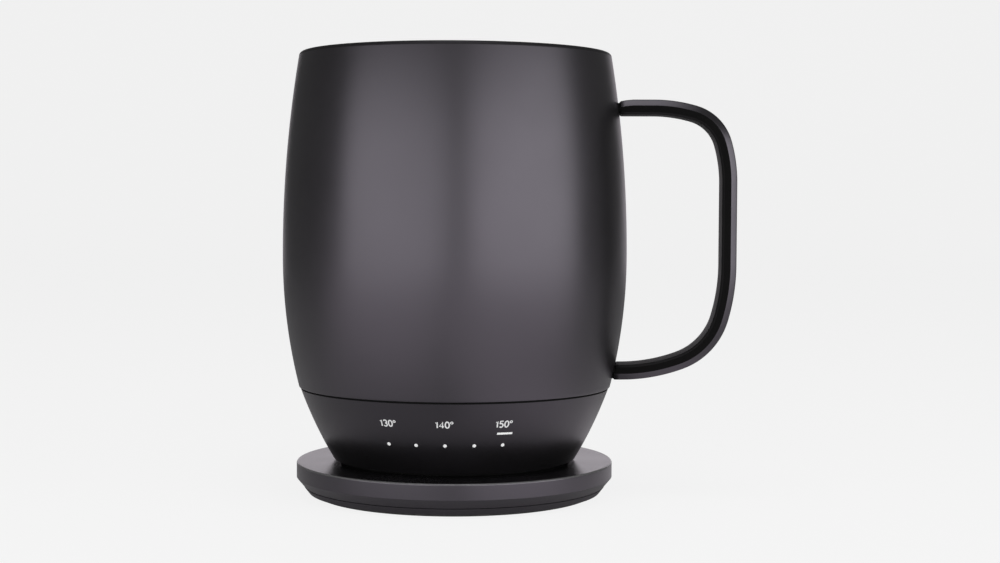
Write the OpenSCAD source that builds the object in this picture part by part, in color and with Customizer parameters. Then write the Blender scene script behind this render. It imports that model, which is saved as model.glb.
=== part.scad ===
// Self-heating mug standing on its round charging coaster, in millimetres.
// Origin: centre of the coaster's underside. +Z up, handle towards +X, indicator towards -Y.

/* [Mug body] */
// Largest radius of the mug, at its belly
belly_r = 47; // [46:0.5:50]
// Height of the mug above the coaster's top
mug_h = 111.2; // [108:0.1:116]
// Height of the belly above the mug's foot
belly_h = 56.1; // [54:0.1:58]
// Radius of the arc from the belly up to the rim
upper_arc_r = 330; // [300:5:400]
// Radius of the arc from the belly down to the seam
lower_arc_r = 147; // [140:1:170]
// How far the base stands back from the shell at the seam
base_step = 0.45; // [0.3:0.05:0.6]
// How much the base narrows from the seam to the foot
base_taper = 9.5; // [9:0.1:9.8]
// Radius of the base's bulge
base_arc_r = 110; // [90:1:140]
// Height of the seam between shell and base, above the mug's foot
seam_h = 20.2; // [19.6:0.1:20.8]
// Height of the shadow gap at the seam
seam_gap = 0.5; // [0.3:0.05:0.7]

/* [Walls] */
// Wall of the outer shell
shell_wall = 1; // [0.8:0.05:1.2]
// Air gap between the outer shell and the inner cup
air_gap = 2.2; // [2.1:0.05:3]
// Wall of the inner cup
cup_wall = 1; // [0.8:0.05:1.4]
// Floor of the inner cup
cup_floor_t = 1.2; // [0.8:0.1:2]
// Radius of the inner cup's bottom corner, outside
cup_corner = 8; // [6:0.5:10]
// Thickness of the rim
rim_t = 2.4; // [2:0.1:3]
// Depth over which the cup flares out to the rim
flare_h = 8; // [6:0.5:12]
// Wall of the base housing
base_wall = 2.2; // [1.8:0.1:2.6]

/* [Handle] */
// How far the handle stands out past the belly
handle_out = 29.5; // [27:0.1:34]
// How far the handle's top face lies below the rim
handle_drop = 12.6; // [11:0.1:18]
// How far the handle's lowest face lies above the seam
handle_rise = 2.5; // [2.2:0.1:6]
// Thickness of the strap
strap_t = 4.1; // [3.6:0.1:4.1]
// Width of the strap
strap_w = 12; // [11:0.5:15]
// Chamfer along the strap's outer edges
strap_chamfer = 1.7; // [0.8:0.1:1.8]
// Chamfer along the strap's inner edges
strap_edge = 0.6; // [0.3:0.1:1]
// Outer radius of the handle's upper bend
upper_bend_r = 13.7; // [12:0.1:18]
// Outer radius of the gentle arcs before and after the upper bend
upper_ease_r = 41.2; // [36:0.1:60]
// Outer radius of the handle's lower bend
lower_bend_r = 19.7; // [17:0.1:24]
// Outer radius of the gentle arc between the grip and the lower bend
lower_ease_r = 54.6; // [46:0.1:75]
// Outer radius of the gentle arc between the lower bend and the shell
lower_arm_r = 48.4; // [36:0.1:52]
// Length of the narrow neck where the strap meets the shell
neck_l = 0.9; // [0.5:0.1:1.5]
// How much the neck stands back from the strap's faces
neck_inset = 0.4; // [0.2:0.1:0.6]
// Distance between the two screws of one strap end
handle_screw_pitch = 6; // [5:0.5:7]
// Radius of a handle screw's shank
handle_screw_r = 1; // [0.8:0.1:1.1]
// Radius of a handle screw's head
handle_head_r = 1.8; // [1.4:0.1:2]
// Height of a handle screw's head
handle_head_h = 1.2; // [0.9:0.1:1.3]
// Depth of a handle screw in the strap
handle_screw_l = 8; // [6:0.5:10]

/* [Indicator] */
// Number of indicator dots
dot_count = 5; // [3:1:5]
// Angle between two dots, in degrees
dot_pitch = 11.45; // [10:0.05:12]
// Radius of a dot
dot_r = 0.44; // [0.35:0.01:0.5]
// Height of the dots above the mug's foot
dot_h = 8.8; // [8.7:0.1:9.2]
// Width of the bar above the last dot
bar_w = 4.1; // [3:0.1:5]
// Height of the bar itself
bar_t = 0.5; // [0.4:0.05:0.8]
// Height of the bar above the mug's foot
bar_h = 11.95; // [11.5:0.05:12.6]

/* [Coaster] */
// Radius of the coaster
coaster_r = 43.3; // [42:0.1:46]
// Height of the coaster's top above the table
coaster_h = 9.2; // [9:0.1:11]
// How far the coaster's wall draws in towards its parting line
coaster_undercut = 2; // [1.8:0.1:2.6]
// Height over which the coaster's wall draws in
coaster_undercut_h = 2.4; // [2:0.1:3]
// Height of the coaster's parting line
coaster_part_h = 2.6; // [2.5:0.1:3]
// Gap at the coaster's parting line
coaster_gap = 0.15; // [0.1:0.05:0.3]
// How much the lower tray narrows towards its underside
tray_taper = 1.3; // [1:0.1:1.6]
// Wall of the coaster's upper housing
coaster_wall = 2; // [1.6:0.1:2.4]
// Roof of the coaster's upper housing
coaster_roof = 1.8; // [1.4:0.1:2]
// Round along the coaster's top edge
coaster_edge = 0.5; // [0.3:0.1:0.8]
// Height of the locating boss
boss_h = 1.6; // [1.4:0.1:1.8]
// How far the rubber pad stands back from the tray's lower edge
pad_back = 1.7; // [1.6:0.1:3]
// Thickness of the rubber pad
pad_t = 1.2; // [1:0.1:1.3]
// How far the pad stands below the tray
pad_proud = 0.8; // [0.6:0.1:0.8]
// Distance of the coaster's screws from the pad's edge
coaster_screw_in = 4.2; // [4:0.1:6]
// How far the coaster's circuit board reaches past the boss
coaster_board_lap = 1.3; // [1:0.1:3]

/* [Cord gland] */
// Radius of the gland's bore
gland_bore_r = 1.6; // [1.3:0.05:1.7]
// Wall of the gland's sleeve
gland_wall = 0.5; // [0.4:0.05:0.6]
// Length of the gland's bore
gland_l = 7; // [5:0.5:8]
// Height of the gland's axis
gland_h = 6.4; // [6.2:0.1:6.6]

/* [Contacts] */
// Radius of the inner contact ring's middle
inner_track_r = 9.25; // [9.2:0.05:10]
// Radius of the outer contact ring's middle
outer_track_r = 15.25; // [14:0.05:19]
// Width of a contact ring
track_w = 2.5; // [2:0.1:3]
// Thickness of a contact ring
track_t = 0.8; // [0.5:0.1:1]
// Radius of a contact pin's tip
pin_r = 0.8; // [0.6:0.05:0.9]
// How far a contact pin stands out of the boss, which is also its travel
pin_proud = 0.95; // [0.7:0.05:1.1]
// Length of the collar that keeps a pin in its barrel
pin_collar_l = 1.3; // [1:0.1:1.6]
// Wall of a pin's barrel
barrel_wall = 0.3; // [0.25:0.05:0.4]
// Turns of a pin's spring
spring_turns = 4; // [3:1:5]
// Radius of the spring's wire
spring_wire_r = 0.12; // [0.08:0.01:0.14]

/* [Power button] */
// Radius of the button's face
button_r = 5.2; // [4.5:0.1:5.4]
// Travel of the button
button_travel = 0.5; // [0.3:0.05:0.6]
// How far the button's face stands below the recess's roof
button_proud = 0.3; // [0.1:0.05:0.4]
// Width of the flange that keeps the button in
button_flange = 1.1; // [0.8:0.1:1.3]
// Radius of the plunger that works the switch
plunger_r = 1.2; // [0.8:0.1:1.5]

/* [Inside the base] */
// Thickness of the contact plate, the roof of the recess over the coaster's boss
cover_t = 1.6; // [1.4:0.1:2]
// How far the foot ring stands below the bottom cover
foot_proud = 0.7; // [0.5:0.05:0.9]
// Depth of the foot ring in its groove
foot_seat = 0.7; // [0.5:0.1:0.8]
// Width of the foot ring
foot_w = 5; // [4.8:0.1:5.4]
// Room between the bottom cover and the main board
board_room = 3; // [2.9:0.1:4]
// Thickness of the circuit boards
board_t = 1; // [0.8:0.1:1.6]
// Room between the main board and the battery tray
tray_room = 2; // [1.9:0.1:3]
// Floor of the battery tray
tray_floor = 0.8; // [0.6:0.1:1.2]
// Wall of the battery tray
tray_wall = 1.2; // [0.8:0.1:1.4]
// Width of one battery cell
cell_w = 23; // [20:0.5:24]
// Length of one battery cell
cell_l = 40; // [34:0.5:41]
// Thickness of one battery cell
cell_t = 5.4; // [4.5:0.1:6]
// Thickness of the insulation under the heater
insulation_t = 6; // [5:0.1:7]
// Width of the cup's flat floor left bare around the heater film
film_bare = 5.6; // [5:0.1:8]
// Thickness of the heater film
film_t = 0.4; // [0.3:0.05:0.6]
// Radius of the temperature sensor
sensor_r = 1.6; // [1.2:0.1:1.8]
// Radius of a heater lead
lead_r = 0.8; // [0.5:0.05:1]

/* [Fits] */
// Close fit between parts that are seated in each other
fit_gap = 0.05; // [0.02:0.01:0.08]
// Loose fit between housings that slip together
slip_gap = 0.2; // [0.15:0.05:0.3]
// Running gap between parts that move past each other
run_gap = 0.3; // [0.25:0.05:0.4]

/* [Hidden] */
$fn = 256;
small_fn = 48;
over = 1;
weld = 0.01;

// Heights of the mug
foot_z = coaster_h;
rim_z = foot_z + mug_h;
belly_z = foot_z + belly_h;
seam_z = foot_z + seam_h;
seam_low_z = seam_z - seam_gap / 2;
seam_top_z = seam_z + seam_gap / 2;

// The shell's wall is two arcs, tangent to each other at the belly
upper_c = [belly_r - upper_arc_r, belly_z];
lower_c = [belly_r - lower_arc_r, belly_z];
// Radius at height z of a circle about a centre
function arc_r(centre, r, z) = centre.x + sqrt(r * r - (z - centre.y) * (z - centre.y));
// Radius of the shell's wall, set in by inset, at height z
function wall_r(z, inset) = z >= belly_z ? arc_r(upper_c, upper_arc_r - inset, z)
    : arc_r(lower_c, lower_arc_r - inset, z);
// Sine of the shell wall's slope at height z
function wall_sin(z, inset) = (belly_z - z) / ((z >= belly_z ? upper_arc_r : lower_arc_r) - inset);

// The base's wall is one arc from the seam to the foot
base_top = [wall_r(seam_top_z, 0) - base_step, seam_low_z];
base_foot = base_top - [base_taper, seam_low_z - foot_z];
base_chord = base_top - base_foot;
base_half = norm(base_chord) / 2;
base_normal = [-base_chord.y, base_chord.x] / norm(base_chord);
base_c = (base_top + base_foot) / 2 + base_normal * sqrt(base_arc_r * base_arc_r - base_half * base_half);
// Radius of the base's wall, set in by inset, at height z
function base_r(z, inset) = arc_r(base_c, base_arc_r - inset, z);

// Heights of the stack inside the base, from the foot up
boss_z = coaster_h + boss_h;
contact_gap = 0.12;
pin_tip_z = boss_z + pin_proud;
cover_low_z = foot_z + foot_proud;
recess_z = pin_tip_z + contact_gap;
cover_top_z = recess_z + cover_t;
groove_z = cover_low_z + foot_seat;
board_z = cover_top_z + board_room;
board_top_z = board_z + board_t;
tray_z = board_top_z + tray_room;
cell_z = tray_z + tray_floor;
cell_room = 1;
tray_top_z = cell_z + cell_t + cell_room;
film_z = tray_top_z + insulation_t;
cup_z = film_z + film_t;

// Bottom cover, ledge and posts, from the outside in
ledge_t = 1.2;
cover_rim_t = 2.1;
ledge_z = cover_low_z + cover_rim_t;
base_low_z = cover_low_z + 0.1;
base_lip = 1.4;
opening_r = base_r(base_low_z, 0) - base_lip;
cover_r = opening_r - slip_gap;
foot_out_r = cover_r - 0.3;
foot_in_r = foot_out_r - foot_w;
bottom_screw_at = (foot_in_r + foot_out_r) / 2;
post_r = 2.9;
ledge_r = bottom_screw_at - 2;
cover_core_r = bottom_screw_at - post_r - run_gap;
plate_r = cover_core_r - 0.9;
recess_r = plate_r - 0.8;
boss_r = recess_r - 2 * run_gap;
bottom_screw_r = 0.95;
bottom_head_r = 1.9;
bottom_head_h = 0.85;
bottom_screw_turn = 90;

// Main board and indicator
board_r = base_r(board_z, base_wall) - 0.7;
board_step = board_r / 12;
chip_size = [8, 8, 1];
socket_size = [14, 4, 1.5];
led_board_t = 0.6;
led_board_r = board_r - 0.4;
led_board_h = 6;
led_t = 0.5;
led_w = 1.2;
led_h = 0.6;
led_r = led_board_r + led_board_t;
pipe_r = led_r + led_t;
led_board_span = (dot_count + 0.2) * dot_pitch;
dot_z = foot_z + dot_h;
bar_z = foot_z + bar_h;
front = 270;
last_dot = front + (dot_count - 1) / 2 * dot_pitch;

// Joint between shell and base
ring_t = 1.2;
ring_skirt_h = 3.7;
ring_lip_h = 1.6;
ring_low_z = seam_low_z - ring_skirt_h;
ring_top_z = seam_top_z + ring_lip_h;
ring_r = base_r(ring_low_z, base_wall + fit_gap) - ring_t;
gasket_r = ring_r + 1.7;
gasket_back = 0.4;

// Inner cup and rim
cup_inset = shell_wall + air_gap;
cup_inner = cup_inset + cup_wall;
cup_inner_corner = cup_corner - cup_wall;
flare_z = rim_z - flare_h;
lip_z = rim_z - 0.9 * rim_t;
lip_round = rim_t / 2;
lip_c = [wall_r(rim_z - lip_round, lip_round), rim_z - lip_round];
lip_sin = -wall_sin(lip_c.y, lip_round);
lip_out = lip_c + lip_round * [sqrt(1 - lip_sin * lip_sin), lip_sin];
seal_z = lip_z - 3;
seal_r = 0.45;

// Handle
handle_top_z = rim_z - handle_drop;
handle_low_z = seam_z + handle_rise;
handle_x = belly_r + handle_out;
// Turns of the gentle arcs, from slopes in whole numbers
ease_turn = atan(7 / 24);
arm_turn = atan(44 / 117);
// Each end of the grip bends to level in three tangent arcs, as pairs of outer radius and turn
upper_arcs = [[upper_ease_r, ease_turn], [upper_bend_r, 90 - 2 * ease_turn], [upper_ease_r, ease_turn]];
lower_arcs = [[lower_ease_r, ease_turn], [lower_bend_r, 90 - ease_turn - arm_turn], [lower_arm_r, arm_turn]];
// Turn of a chain of arcs before its arc i
function turn_before(arcs, i) = i == 0 ? 0 : turn_before(arcs, i - 1) + arcs[i - 1][1];
// Centre of arc i, from the point where the chain leaves the grip
function arc_centre(arcs, i) = i == 0 ? [-arcs[0][0], 0]
    : arc_centre(arcs, i - 1) + (arcs[i - 1][0] - arcs[i][0])
    * [cos(turn_before(arcs, i)), sin(turn_before(arcs, i))];
// Height of a chain, and how far it runs in towards the shell
function chain_rise(arcs) = arc_centre(arcs, 2).y + arcs[2][0];
function chain_run(arcs) = -arc_centre(arcs, 2).x;
// Length of the wedge that cuts an arc of the strap out of a full ring
reach = 2 * belly_r;
arm_x = 30;
upper_arm_z = handle_top_z - strap_t / 2;
lower_arm_z = handle_low_z + strap_t / 2;
handle_screw_end = belly_r - 3 + handle_screw_l;

// Coaster
tray_top_r = coaster_r - coaster_undercut;
tray_low_r = tray_top_r - tray_taper;
pad_r = tray_low_r - pad_back;
coaster_screw_at = pad_r - coaster_screw_in;
pad_top_z = pad_t;
tray_base_z = pad_proud;
tray_part_z = coaster_part_h - coaster_gap;
lip_r = coaster_r - coaster_wall - 2;
tray_lip_h = 1.6;
tray_lip_t = 1.4;
coaster_roof_z = coaster_h - coaster_roof;
boss_roof_z = boss_z - coaster_roof;
boss_in_r = boss_r - coaster_wall;
boss_edge = 0.6;
coaster_post_z = tray_part_z + 1.1;
coaster_post_r = 2.8;
coaster_screw_r = 1;
coaster_head_r = 2;
coaster_head_h = 0.75;
coaster_screw_turn = 30;
coaster_board_z = tray_part_z + 1.5;
coaster_board_top_z = coaster_board_z + board_t;
coaster_board_r = boss_r + coaster_board_lap;
coaster_board_step = coaster_board_r / 8;
standoff_at = coaster_board_r - 4.5;
standoff_r = 2;
gland_r = gland_bore_r + gland_wall;
gland_flange_r = gland_r + 0.4;
gland_flange_t = 0.6;
gland_y = coaster_r + gland_flange_t;

// Sprung contacts
crimp_t = 0.4;
barrel_top_z = boss_z - crimp_t;
crimp_z = barrel_top_z - crimp_t;
collar_r = pin_r + 0.25;
barrel_bore_r = collar_r + fit_gap;
barrel_r = barrel_bore_r + barrel_wall;
barrel_base_t = 0.4;
collar_top_z = crimp_z - 0.1;
collar_z = collar_top_z - pin_collar_l;
spring_z = coaster_board_top_z + barrel_base_t;
spring_end_gap = 0.02;
spring_r = barrel_bore_r - spring_wire_r - 0.25;
inner_pin_at = [-inner_track_r, 0];
outer_pin_at = [outer_track_r, 0];
inner_stud_at = [inner_track_r, 0];
outer_stud_at = [-outer_track_r, 0];
stud_r = 0.7;

// Power button
button_z = recess_z - button_proud;
button_hole_r = button_r + run_gap;
button_flange_z = cover_top_z + 0.1;
button_flange_t = 0.6;
button_flange_r = button_hole_r + button_flange;
button_top_z = button_flange_z + button_flange_t;
seal_in_r = button_flange_r + run_gap;
button_seal_t = 1.2;
button_seal_h = 0.8;
switch_size = 6;
switch_h = 1.5;
switch_z = board_z - switch_h;
plunger_in = 0.6;
plunger_z = switch_z + plunger_in;

// Battery tray, leads and sensor
pocket_w = cell_w + 2 * slip_gap;
pocket_l = cell_l + 2 * slip_gap;
pocket_x = (pocket_w + tray_wall) / 2;
tray_half_x = pocket_w + 1.5 * tray_wall;
tray_half_y = pocket_l / 2 + tray_wall;
tray_leg_r = 1.6;
film_r = wall_r(cup_z + cup_corner, cup_inset + cup_corner) - film_bare;
lead_y = film_r + 2.4;
lead_x = 4;
tab_half = lead_x + lead_r + 1;
tab_end = lead_y + lead_r + 0.4;
slot_gap = 0.8;
sensor_h = 2;
wire_r = 0.4;
wire_x = 1.1;
wire_z = film_z - sensor_h / 2;

// Colours
satin_black = [0.10, 0.10, 0.11];
deep_black = [0.05, 0.05, 0.055];
rubber_black = [0.07, 0.07, 0.07];
steel = [0.72, 0.73, 0.75];
gold = [0.85, 0.68, 0.32];
board_green = [0.08, 0.33, 0.18];
chip_black = [0.12, 0.12, 0.13];
light_white = [0.95, 0.96, 0.98];

// Part of the half-plane between the axis and an arc, from height low to height high
module arc_band(centre, r, low, high) {
    intersection() {
        translate(centre) circle(r);
        translate([0, low]) square([2 * belly_r, high - low]);
    }
}

// Area between the axis and the shell's wall, set in by inset, from height low to height high
module shell_area(inset, low, high) {
    if (high > belly_z) {
        arc_band(upper_c, upper_arc_r - inset, max(low, belly_z), high);
    }
    if (low < belly_z) {
        arc_band(lower_c, lower_arc_r - inset, low, min(high, belly_z));
    }
}

// Area between the axis and the base's wall, set in by inset, from height low to height high
module base_area(inset, low, high) {
    arc_band(base_c, base_arc_r - inset, low, high);
}

// Area of a bowl that follows the wall, with a flat floor and a round bottom corner
module bowl_area(inset, floor_z, corner, high) {
    corner_z = floor_z + corner;
    corner_r = wall_r(corner_z, inset + corner) + weld;
    tangent_z = corner_z - corner * wall_sin(corner_z, inset + corner);
    shell_area(inset, tangent_z, high);
    translate([corner_r, corner_z]) circle(corner);
    translate([0, floor_z]) square([corner_r, corner]);
}

// Section of a flat ring
module ring_area(r_in, r_out, low, high) {
    translate([r_in, low]) square([r_out - r_in, high - low]);
}

// Section of a disc with a round along its top edge
module round_disc_area(r, low, high, edge) {
    ring_area(0, r - edge, low, high);
    ring_area(0, r, low, high - edge);
    translate([r - edge, high - edge]) circle(edge, $fn = small_fn);
}

// Upright round bar between two heights
module bar(at, r, low, high) {
    translate([at.x, at.y, low]) cylinder(r = r, h = high - low, $fn = small_fn);
}

// Upright block centred on a point of the plan
module block(at, size, low) {
    translate([at.x - size.x / 2, at.y - size.y / 2, low]) cube(size);
}

// Copies at three even turns
module at_three(turn, r) {
    for (i = [0:2]) {
        rotate(turn + 120 * i) translate([r, 0, 0]) children();
    }
}

module coaster_pad() {
    color(rubber_black) rotate_extrude() difference() {
        ring_area(0, pad_r, 0, pad_top_z);
        translate([pad_r - 0.5, 0]) polygon([[0, 0], [over, 0], [over, over]]);
    }
}

module coaster_base() {
    color(satin_black) difference() {
        union() {
            rotate_extrude() difference() {
                union() {
                    polygon([[0, tray_base_z], [tray_low_r, tray_base_z], [tray_top_r, tray_part_z],
                        [0, tray_part_z]]);
                    ring_area(lip_r - slip_gap - tray_lip_t, lip_r - slip_gap, tray_base_z,
                        tray_part_z + tray_lip_h);
                }
                ring_area(-over, pad_r + slip_gap, 0, pad_top_z);
            }
            at_three(coaster_screw_turn, coaster_screw_at)
                bar([0, 0], coaster_post_r + 0.4, pad_top_z, coaster_post_z);
            at_three(front, standoff_at) bar([0, 0], standoff_r, pad_top_z, coaster_board_z);
        }
        at_three(coaster_screw_turn, coaster_screw_at) {
            bar([0, 0], coaster_screw_r + fit_gap, 0, coaster_h);
            bar([0, 0], coaster_head_r + slip_gap, 0, pad_top_z + coaster_head_h + fit_gap);
        }
    }
}

module coaster_top() {
    wall_z = coaster_part_h + coaster_undercut_h;
    cavity_r = coaster_r - coaster_wall;
    color(satin_black) difference() {
        union() {
            rotate_extrude() difference() {
                union() {
                    round_disc_area(coaster_r, wall_z, coaster_h, coaster_edge);
                    round_disc_area(boss_r, wall_z, boss_z, boss_edge);
                    polygon([[0, coaster_part_h], [tray_top_r, coaster_part_h], [coaster_r, wall_z],
                        [0, wall_z]]);
                }
                ring_area(-over, lip_r, coaster_part_h - over, coaster_roof_z);
                ring_area(-over, cavity_r, wall_z + 0.6, coaster_roof_z);
                ring_area(-over, boss_in_r, coaster_part_h, boss_roof_z);
            }
            at_three(coaster_screw_turn, coaster_screw_at)
                bar([0, 0], coaster_post_r, coaster_post_z, coaster_roof_z + 0.2);
        }
        at_three(coaster_screw_turn, coaster_screw_at)
            bar([0, 0], coaster_screw_r + fit_gap, 0, coaster_roof_z - 0.3);
        for (at = [inner_pin_at, outer_pin_at]) {
            bar(at, barrel_r + fit_gap, coaster_part_h, barrel_top_z);
            bar(at, pin_r + slip_gap, coaster_part_h, boss_z + over);
        }
        translate([0, 0, gland_h]) rotate([-90, 0, 0])
            cylinder(r = gland_r + fit_gap, h = coaster_r + over, $fn = small_fn);
    }
}

module coaster_board() {
    color(board_green) bar([0, 0], coaster_board_r, coaster_board_z, coaster_board_top_z);
}

module coaster_components() {
    step = coaster_board_step;
    color(chip_black) {
        block([0, 4] * step, [6, 6, 1.6], coaster_board_top_z);
        block([-3, 4] * step, [4, 5, 1], coaster_board_top_z);
        block([3, 4] * step, [5, 4, 1.2], coaster_board_top_z);
        block([0, -4] * step, [7, 5, 1.2], coaster_board_top_z);
        for (x = [-3, -2, 2, 3]) {
            block([x, -4] * step, [1.2, 2, 0.6], coaster_board_top_z);
        }
        for (x = [-0.7, 0.7]) {
            bar([x, 6.2] * step, 1.4, coaster_board_top_z, coaster_board_top_z + 1.8);
        }
    }
}

module cord_gland() {
    color(rubber_black) translate([0, gland_y, gland_h]) rotate([90, 0, 0]) difference() {
        union() {
            cylinder(r = gland_r, h = gland_l, $fn = small_fn);
            cylinder(r = gland_flange_r, h = gland_flange_t, $fn = small_fn);
        }
        translate([0, 0, -over]) cylinder(r = gland_bore_r, h = gland_l + 2 * over, $fn = small_fn);
    }
}

module pin_barrels() {
    color(steel) for (at = [inner_pin_at, outer_pin_at]) {
        translate(at) rotate_extrude($fn = small_fn) difference() {
            ring_area(0, barrel_r, coaster_board_top_z, barrel_top_z);
            ring_area(-over, barrel_bore_r, spring_z, crimp_z);
            ring_area(-over, pin_r + fit_gap, spring_z, barrel_top_z + over);
        }
    }
}

// Rings of a round wire wound as a helix from height low to height high
function coil_ring(turn, low, high, sides) = [for (k = [0:sides - 1])
    let (a = 360 * turn, b = 360 * k / sides, z = low + (high - low) * turn / spring_turns)
    let (r = spring_r + spring_wire_r * cos(b))
    [r * cos(a), r * sin(a), z + spring_wire_r * sin(b)]];

module pin_spring(at) {
    sides = 6;
    steps = 12;
    low = spring_z + spring_wire_r + spring_end_gap;
    high = collar_z - spring_wire_r - spring_end_gap;
    rings = spring_turns * steps;
    points = [for (i = [0:rings]) each coil_ring(i / steps, low, high, sides)];
    side_faces = [for (i = [0:rings - 1], k = [0:sides - 1])
        let (a = i * sides, n = (k + 1) % sides)
        each [[a + k, a + sides + k, a + n], [a + n, a + sides + k, a + sides + n]]];
    first_cap = [for (k = [1:sides - 2]) [0, k, k + 1]];
    end = rings * sides;
    last_cap = [for (k = [1:sides - 2]) [end, end + k + 1, end + k]];
    color(steel) translate(at) polyhedron(points, concat(side_faces, first_cap, last_cap));
}

module inner_pin_spring() {
    pin_spring(inner_pin_at);
}

module outer_pin_spring() {
    pin_spring(outer_pin_at);
}

module coaster_screws() {
    color(steel) at_three(coaster_screw_turn, coaster_screw_at) {
        bar([0, 0], coaster_head_r, pad_top_z + fit_gap, pad_top_z + coaster_head_h);
        bar([0, 0], coaster_screw_r, pad_top_z + coaster_head_h, coaster_roof_z - 0.5);
    }
}

module contact_pin(at) {
    color(gold) translate(at) rotate_extrude($fn = small_fn) {
        ring_area(0, collar_r, collar_z, collar_top_z);
        round_disc_area(pin_r, collar_z, pin_tip_z, pin_r / 2);
    }
}

module inner_contact_pin() {
    contact_pin(inner_pin_at);
}

module outer_contact_pin() {
    contact_pin(outer_pin_at);
}

// Lying holes or screws at the four places where the handle is screwed on
module at_handle_screws() {
    for (y = [-1, 1] * handle_screw_pitch / 2, z = [upper_arm_z, lower_arm_z]) {
        translate([0, y, z]) children();
    }
}

module lying_bar(r, from_x, to_x) {
    translate([from_x, 0, 0]) rotate([0, 90, 0]) cylinder(r = r, h = to_x - from_x, $fn = small_fn);
}

module outer_shell() {
    color(satin_black) difference() {
        rotate_extrude() difference() {
            shell_area(0, seam_top_z, lip_z);
            shell_area(shell_wall, seam_top_z - over, lip_z + over);
        }
        at_handle_screws() lying_bar(handle_screw_r + fit_gap, arm_x, handle_x);
    }
}

module inner_cup() {
    color(steel) rotate_extrude() {
        difference() {
            bowl_area(cup_inset, cup_z, cup_corner, flare_z);
            bowl_area(cup_inner, cup_z + cup_floor_t, cup_inner_corner, flare_z + over);
        }
        polygon([[wall_r(flare_z, cup_inner), flare_z], [wall_r(flare_z, cup_inset), flare_z],
            [wall_r(lip_z, shell_wall + fit_gap), lip_z], [wall_r(lip_z, 0), lip_z], lip_out, lip_c,
            lip_c - [lip_round, 0]]);
        intersection() {
            translate(lip_c) circle(lip_round, $fn = small_fn);
            ring_area(0, belly_r, (lip_z + lip_c.y) / 2, rim_z + over);
        }
    }
}

module rim_seal() {
    color(rubber_black) rotate_extrude()
        translate([wall_r(seal_z, shell_wall + fit_gap) - seal_r, seal_z]) circle(seal_r, $fn = small_fn);
}

// Section of the strap, drawn in by inset: width along x, inner face at y = inset
module strap_section(inset) {
    w = strap_w / 2 - inset;
    top = strap_t - inset;
    chamfer = strap_chamfer;
    polygon([[edge_in(w), inset], [w, inset + strap_edge], [w, top - chamfer], [w - chamfer, top],
        [chamfer - w, top], [-w, top - chamfer], [-w, inset + strap_edge], [-edge_in(w), inset]]);
}
function edge_in(w) = w - strap_edge;

// Level arm of the strap; side is 1 for the upper arm and -1 for the lower one
module strap_arm(inner_z, side, end_x, inset) {
    translate([arm_x, 0, inner_z]) rotate([90, 0, 90]) linear_extrude(end_x - arm_x)
        mirror([0, side < 0 ? 1 : 0]) strap_section(inset);
}

// Bend of the strap from the grip at height z to level; side is 1 upwards and -1 downwards
module strap_bend(arcs, side, z) {
    for (i = [0:2]) {
        centre = arc_centre(arcs, i);
        first = turn_before(arcs, i);
        last = turn_before(arcs, i + 1);
        translate([handle_x + centre.x, 0, z + side * centre.y]) rotate([90, 0, 0]) intersection() {
            rotate_extrude() translate([arcs[i][0] - strap_t, 0]) rotate(-90) strap_section(0);
            linear_extrude(2 * strap_w, center = true) polygon([[0, 0],
                reach * [cos(first), side * sin(first)], reach * [cos(last), side * sin(last)]]);
        }
    }
}

module strap_arms(upper_end, lower_end, inset) {
    strap_arm(handle_top_z - strap_t, 1, upper_end, inset);
    strap_arm(handle_low_z + strap_t, -1, lower_end, inset);
}

module strap() {
    grip_top_z = handle_top_z - chain_rise(upper_arcs);
    grip_low_z = handle_low_z + chain_rise(lower_arcs);
    strap_arms(handle_x - chain_run(upper_arcs), handle_x - chain_run(lower_arcs), 0);
    strap_bend(upper_arcs, 1, grip_top_z);
    strap_bend(lower_arcs, -1, grip_low_z);
    translate([handle_x - strap_t, 0, grip_low_z]) rotate(-90)
        linear_extrude(grip_top_z - grip_low_z) strap_section(0);
}

// Solid of the shell's outside, grown by the given amount
module shell_solid(grow) {
    rotate_extrude() shell_area(-grow, foot_z, rim_z);
}

// Solid of the base's outside, grown by the given amount
module base_solid(grow) {
    rotate_extrude() base_area(-grow, foot_z, seam_z);
}

module handle() {
    neck_end = belly_r + neck_l + 1;
    color(satin_black) difference() {
        union() {
            difference() {
                strap();
                shell_solid(neck_l);
            }
            difference() {
                strap_arms(neck_end, neck_end, neck_inset);
                shell_solid(fit_gap);
            }
        }
        at_handle_screws()
            lying_bar(handle_screw_r + fit_gap, arm_x, handle_screw_end + slip_gap);
    }
}

module handle_screws() {
    // Each head bears on the shell's inner face where that face stands nearest to the axis
    color(steel) for (y = [-1, 1] * handle_screw_pitch / 2, z = [upper_arm_z, lower_arm_z]) {
        reach = abs(y) + handle_head_r;
        near_r = min(wall_r(z - handle_head_r, shell_wall), wall_r(z + handle_head_r, shell_wall));
        seat_x = sqrt(near_r * near_r - reach * reach) - fit_gap;
        translate([0, y, z]) {
            lying_bar(handle_head_r, seat_x - handle_head_h, seat_x);
            lying_bar(handle_screw_r, seat_x, handle_screw_end);
        }
    }
}

module shell_ring() {
    color(deep_black) rotate_extrude() difference() {
        union() {
            base_area(base_wall + fit_gap, ring_low_z, seam_low_z);
            shell_area(shell_wall + fit_gap, seam_top_z, ring_top_z);
            ring_area(0, gasket_r, seam_low_z, seam_top_z);
        }
        ring_area(-over, ring_r, ring_low_z - over, ring_top_z + over);
    }
}

module seam_gasket() {
    color(rubber_black) rotate_extrude()
        ring_area(gasket_r + fit_gap, base_top.x - gasket_back, seam_low_z, seam_top_z);
}

// Lying bar from the axis outwards at one turn and height
module spoke(turn, z, r, from_r, to_r) {
    rotate(turn) translate([0, 0, z]) lying_bar(r, from_r, to_r);
}

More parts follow.
